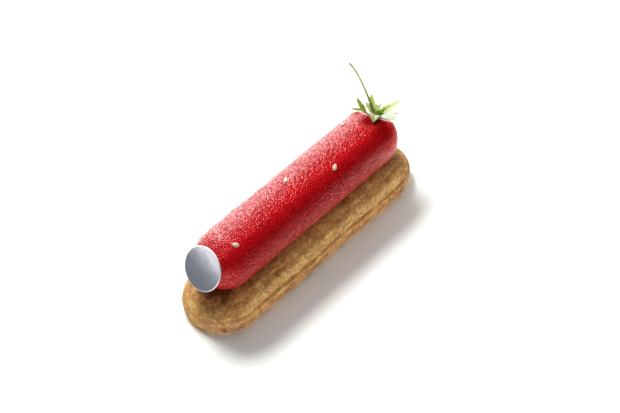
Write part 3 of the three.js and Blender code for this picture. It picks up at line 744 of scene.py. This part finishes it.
def leaf_points(turn, start, lift, tip_lift, length, width, twist):
    """Both faces of one leaf as closed rings from root to tip, in the calyx's own frame."""
    angle = math.radians(turn)
    outward = np.array([math.cos(angle), math.sin(angle), 0])
    level = np.array([-outward[1], outward[0], 0])
    spine = outward * start
    shares = np.linspace(1, -1, 2 * LEAF_HALF_COLUMNS + 1)
    rings = [np.repeat(spine[None], 2 * len(shares), 0)]
    for i in range(LEAF_ROWS + 1):
        share = i / LEAF_ROWS
        bend = math.radians(lift + (tip_lift - lift) * share**LEAF_BEND)
        along = outward * math.cos(bend) + np.array([0, 0, math.sin(bend)])
        taken = math.radians(twist) * min(1, share / LEAF_TWISTING)
        across = level * math.cos(taken) + np.cross(along, level) * math.sin(taken)
        normal = np.cross(along, across)
        if i:
            spine = spine + along * length / LEAF_ROWS
        half = width / 2 * (1 - share**2) * (LEAF_ROOT_WIDTH + LEAF_SPREAD * share)
        thick = LEAF_THICKNESS * (1 - LEAF_THINNER * share)
        wave = LEAF_WAVE * math.sin(2 * math.pi * LEAF_WAVES * share + turn) * 4 * share * (1 - share)
        rise = LEAF_FOLD * half * np.abs(shares) + wave * shares
        body = thick / 2 * np.sqrt(1 - LEAF_EDGE * shares**2)
        blade = spine + np.outer(shares * half, across)
        upper, lower = (blade + np.outer(rise + side * body, normal) for side in (1, -1))
        rings.append(np.concatenate([upper, lower[::-1]]))
    rings.append(np.repeat(spine[None], 2 * len(shares), 0))
    return np.array(rings)


def leaf_greens(green, rows):
    """Colour at a leaf's rings: its own green, darker towards the tip and paler along the edges."""
    share = np.linspace(0, 1, rows)[:, None, None]
    from_midrib = np.abs(np.linspace(1, -1, 2 * LEAF_HALF_COLUMNS + 1))
    from_midrib = np.concatenate([from_midrib, from_midrib])[None, :, None]
    shade = (ROOT_BRIGHTER - TIP_DARKER * share**3) * (MIDRIB_DARKER + EDGE_PALER * from_midrib**3)
    return np.array(green) * shade


def hub_points():
    """Rings of the flat round hub, in the calyx's own frame."""
    latitude = np.linspace(-math.pi / 2, math.pi / 2, HUB_ROWS)[:, None]
    turn = full_turn(HUB_SIDES)
    radius = HUB_RADIUS * np.cos(latitude)
    height = HUB_HEIGHT / 2 * np.sin(latitude) + 0 * turn
    return np.stack([radius * np.cos(turn), radius * np.sin(turn), height], -1)


def stalk_points():
    """Rings of the tapered stalk along its bend, in the part's directions from the calyx's seat."""
    route = np.array(STALK_ROUTE, float)
    knots = np.linspace(0, 1, len(route))
    share = np.linspace(0, 1, STALK_ROWS)
    weights = np.polyfit(knots, route, 3)
    centre = np.stack([np.polyval(weights[:, k], share) for k in range(3)], 1)
    along = np.gradient(centre, axis=0)
    along /= np.linalg.norm(along, axis=1, keepdims=True)
    aside = np.cross(along, (1.0, 0, 0))
    aside /= np.linalg.norm(aside, axis=1, keepdims=True)
    other = np.cross(along, aside)
    neck = STALK_NECK + (STALK_TIP - STALK_NECK) * share
    radius = neck + (STALK_ROOT - STALK_NECK) * np.maximum(0, 1 - share / STALK_FLARE) ** 2
    turn = full_turn(STALK_SIDES)[:, None]
    outward = np.cos(turn) * aside[:, None] + np.sin(turn) * other[:, None]
    rings = centre[:, None] + radius[:, None, None] * outward
    ends = np.repeat(centre[[0, -1], None], STALK_SIDES, 1)
    return np.concatenate([ends[:1], rings, ends[1:]])


def stalk_greens(rows):
    """Colour at the stalk's rings, from root to tip."""
    share = np.linspace(0, 1, rows)
    places, colours = zip(*STALK_COLOURS)
    return np.stack([np.interp(share, places, channel) for channel in np.array(colours).T], 1)[:, None]


def calyx_mesh():
    """Leaves, hub and stalk joined as one mesh, with each point's green."""
    grown = []
    for *shape, green in LEAVES:
        leaf = leaf_points(*shape)
        grown.append((leaf, leaf_greens(green, len(leaf))))
    stalk = stalk_points() @ CALYX_TURN
    grown += [(hub_points(), HUB_COLOUR), (stalk, stalk_greens(len(stalk)))]
    points, faces, greens = [], [], []
    count = 0
    for rings, green in grown:
        rows, columns = rings.shape[:2]
        points.append(rings.reshape(-1, 3))
        faces.append(ring_faces(rows, columns) + count)
        greens.append(np.broadcast_to(green, rings.shape).reshape(-1, 3))
        count += rows * columns
    placed = CALYX_SEAT + np.concatenate(points) @ CALYX_TURN.T
    return placed, np.concatenate(faces), {"green": np.concatenate(greens)}


def leaf_material():
    """Fresh strawberry leaf: each leaf's own green with fine mottling, and light passing through it."""
    material, tree, surface, place = shader("strawberry_leaf")
    own = tree.nodes.new("ShaderNodeVertexColor")
    own.layer_name = "green"
    mottle = ramp(tree, noise_field(tree, place, MOTTLE_SIZE, detail=3), MOTTLE_TINTS)
    leaf = mixed(tree, MOTTLE_SHARE, own.outputs["Color"], mottle, "MULTIPLY")
    tree.links.new(leaf, surface.inputs["Base Color"])
    surface.inputs["Roughness"].default_value = LEAF_ROUGHNESS
    surface.inputs["Subsurface Weight"].default_value = LEAF_GLOW
    surface.inputs["Subsurface Radius"].default_value = LEAF_GLOW_TINT
    surface.inputs["Subsurface Scale"].default_value = LEAF_GLOW_REACH * MM
    bumped(tree, surface, noise_field(tree, place, VEIN_SIZE), VEIN_DEPTH)
    return material


calyx_points, calyx_faces, calyx_values = calyx_mesh()
piece("calyx_leaves", calyx_points, calyx_faces, leaf_material(), "calyx", calyx_values)

# The studio: a white table top, a soft key light from the upper left, a wide fill overhead, a front fill
# for the crust and table alone, and a card behind that only reflections show. The camera looks down
# along the eclair at 44 degrees. Sizes here are in metres, apart from the camera's.
TABLE_SIZE = 6.0
TABLE_WHITE, TABLE_ROUGHNESS = (0.89, 0.92, 0.90), 0.9
TABLE_GLOW = 0.85  # light that the table throws up
CLOSE_SHEEN, CLOSE_ASIDE = 0.45, (0.0, -0.015)  # the lit table close by on the right, in the glaze
NEAR_SHEEN, NEAR_ALONG = 4.0, (-0.055, -0.068)  # how much more so before the near end
BEHIND_SHEEN, BEHIND_ASIDE, BEHIND_ALONG = 0.8, (0.015, 0.04), (-0.05, -0.03)  # in the bar's left rim
GONE_COLOUR = (0.01, 0.01, 0.01)  # the table in the glaze, where it is out of the light
GONE_ASIDE, GONE_TURN, GONE_TURN_FROM = (-0.02, -0.06), 0.8, 0.06  # on the right, further past the end
GONE_AHEAD, GONE_AHEAD_ASIDE = (0.12, 0.15), (0.02, 0.0)  # and beyond the far end
KEY_TOWARDS = np.array([0.16, 0.63, 1.0])
KEY_COLOUR = (1.0, 0.992, 0.975)
KEY_DISTANCE, KEY_LENGTH, KEY_WIDTH, KEY_POWER = 0.8, 0.42, 0.22, 8.0
FILL_PLACE, FILL_SIZE, FILL_POWER = (0.5, 0.55, 1.3), 2.0, 13.5
FRONT_PLACE, FRONT_SIZE, FRONT_POWER = (0.1, -1.15, 0.3), 0.6, 6.6
CARD_PLACE, CARD_SIZE, CARD_POWER = (0.75, 1.1, 0.35), 1.5, 32.0
SKY = 0.06
CAMERA_LIFT, CAMERA_HEADING = 44.0, 39.59
CAMERA_DISTANCE = 983.16
CAMERA_AIM, CAMERA_ASIDE, CAMERA_UP = np.array([0, 0, 14.0]), 4.44, 5.58
CAMERA_SIGHT = 50.0  # furthest that it sees, in metres
IMAGE_WIDTH, FOCAL_PIXELS, SENSOR = 620, 2200.0, 36.0


def comes_in(tree, value, limits):
    """Share that goes from 0 to 1 as a value goes from the first limit to the second."""
    node = tree.nodes.new("ShaderNodeMapRange")
    node.inputs["From Min"].default_value, node.inputs["From Max"].default_value = limits
    tree.links.new(value, node.inputs["Value"])
    return node.outputs["Result"]


def table_gone(tree, along, aside):
    """How far the table has gone from the glaze's reflections, on the right and beyond the far end."""
    past_end = calculated(tree, "MAXIMUM", calculated(tree, "SUBTRACT", along, GONE_TURN_FROM), 0.0)
    turned = calculated(tree, "ADD", aside, calculated(tree, "MULTIPLY", past_end, GONE_TURN))
    ahead = calculated(tree, "MULTIPLY", comes_in(tree, along, GONE_AHEAD),
                       comes_in(tree, aside, GONE_AHEAD_ASIDE))
    return calculated(tree, "MAXIMUM", comes_in(tree, turned, GONE_ASIDE), ahead)


def table_sheen(tree, along, aside, mirrored, gone):
    """Light of the table in the glaze: close by on the right, and behind the bar's left rim."""
    before_end = calculated(tree, "MULTIPLY", comes_in(tree, along, NEAR_ALONG), NEAR_SHEEN)
    more = calculated(tree, "ADD", before_end, 1.0)
    close_by = calculated(tree, "MULTIPLY", calculated(tree, "SUBTRACT", mirrored, gone),
                          comes_in(tree, aside, CLOSE_ASIDE), more, CLOSE_SHEEN)
    behind = calculated(tree, "MULTIPLY", mirrored, comes_in(tree, aside, BEHIND_ASIDE),
                        comes_in(tree, along, BEHIND_ALONG), BEHIND_SHEEN)
    return calculated(tree, "ADD", close_by, behind)


def table_material():
    """Matt white that throws light up at the eclair, and that the glaze mirrors only in places."""
    material, tree, surface, place = shader("white_table")
    light_path = tree.nodes.new("ShaderNodeLightPath").outputs
    mirrored = light_path["Is Glossy Ray"]
    axes = tree.nodes.new("ShaderNodeSeparateXYZ")
    tree.links.new(place, axes.inputs["Vector"])
    along, aside = axes.outputs["X"], axes.outputs["Y"]
    gone = calculated(tree, "MULTIPLY", mirrored, table_gone(tree, along, aside))
    tree.links.new(mixed(tree, gone, TABLE_WHITE, GONE_COLOUR), surface.inputs["Base Color"])
    glow = calculated(tree, "MULTIPLY", light_path["Is Diffuse Ray"], TABLE_GLOW)
    glow = calculated(tree, "ADD", glow, table_sheen(tree, along, aside, mirrored, gone))
    tree.links.new(glow, surface.inputs["Emission Strength"])
    surface.inputs["Emission Color"].default_value = (1, 1, 1, 1)
    surface.inputs["Roughness"].default_value = TABLE_ROUGHNESS
    surface.inputs["Specular IOR Level"].default_value = 0.0
    return material


def area_light(name, place, length, width, power, mirrored=True, lighting=True):
    """A soft light, long in the eclair's own direction, that looks at it. One that isn't mirrored is kept
    out of reflections, and one that isn't lighting shows in them alone."""
    data = bpy.data.lights.new(name, "AREA")
    data.shape = "ELLIPSE"
    data.size, data.size_y = length, width
    data.energy = power
    light = bpy.data.objects.new(name, data)
    light.location = place
    light.visible_glossy = mirrored
    light.visible_diffuse = lighting
    back = Vector(place).normalized()
    across = (Vector((1, 0, 0)) - back * back.x).normalized()
    turned = Matrix((across, back.cross(across), back)).transposed()
    light.rotation_mode = "QUATERNION"
    light.rotation_quaternion = turned.to_quaternion()
    bpy.context.scene.collection.objects.link(light)
    return light


table_mesh = bpy.data.meshes.new("table_top")
table_half = TABLE_SIZE / 2
table_mesh.from_pydata([(-table_half, -table_half, 0), (table_half, -table_half, 0),
                        (table_half, table_half, 0), (-table_half, table_half, 0)], [], [(0, 1, 2, 3)])
table_mesh.materials.append(table_material())
table_top = bpy.data.objects.new("table_top", table_mesh)
bpy.context.scene.collection.objects.link(table_top)

key_place = KEY_TOWARDS / np.linalg.norm(KEY_TOWARDS) * KEY_DISTANCE
key = area_light("key", key_place, KEY_LENGTH, KEY_WIDTH, KEY_POWER)
key.data.color = KEY_COLOUR
area_light("overhead_fill", FILL_PLACE, FILL_SIZE, FILL_SIZE, FILL_POWER, mirrored=False)
front_fill = area_light("front_fill", FRONT_PLACE, FRONT_SIZE, FRONT_SIZE, FRONT_POWER, mirrored=False)
front_lit = bpy.data.collections.new("lit_by_front_fill")
for lit in (choux_crust, table_top):
    front_lit.objects.link(lit)
front_fill.light_linking.receiver_collection = front_lit
area_light("back_card", CARD_PLACE, CARD_SIZE, CARD_SIZE, CARD_POWER, lighting=False)

world = bpy.data.worlds.new("studio")
world.use_nodes = True
sky = world.node_tree.nodes["Background"]
sky.inputs["Color"].default_value = (SKY, SKY, SKY, 1)
sky_ray = world.node_tree.nodes.new("ShaderNodeLightPath").outputs["Is Glossy Ray"]
world.node_tree.links.new(calculated(world.node_tree, "SUBTRACT", 1.0, sky_ray), sky.inputs["Strength"])
bpy.context.scene.world = world

lift, heading = math.radians(CAMERA_LIFT), math.radians(CAMERA_HEADING)
ahead = np.array([math.cos(heading), math.sin(heading), 0])
right = np.array([math.sin(heading), -math.cos(heading), 0])
look = ahead * math.cos(lift) - np.array([0, 0, math.sin(lift)])
upward = np.cross(right, look)
camera = bpy.data.objects.new("camera", bpy.data.cameras.new("camera"))
camera.data.sensor_width = SENSOR
camera.data.lens = SENSOR * FOCAL_PIXELS / IMAGE_WIDTH
camera.data.clip_end = CAMERA_SIGHT
stand = CAMERA_AIM - look * CAMERA_DISTANCE + right * CAMERA_ASIDE + upward * CAMERA_UP
pose = Matrix.Identity(4)
for k, axis in enumerate((right, upward, -look, stand * MM)):
    pose.col[k][:3] = axis
camera.matrix_world = pose
bpy.context.scene.collection.objects.link(camera)
bpy.context.scene.camera = camera
bpy.context.scene.view_settings.view_transform = "Standard"
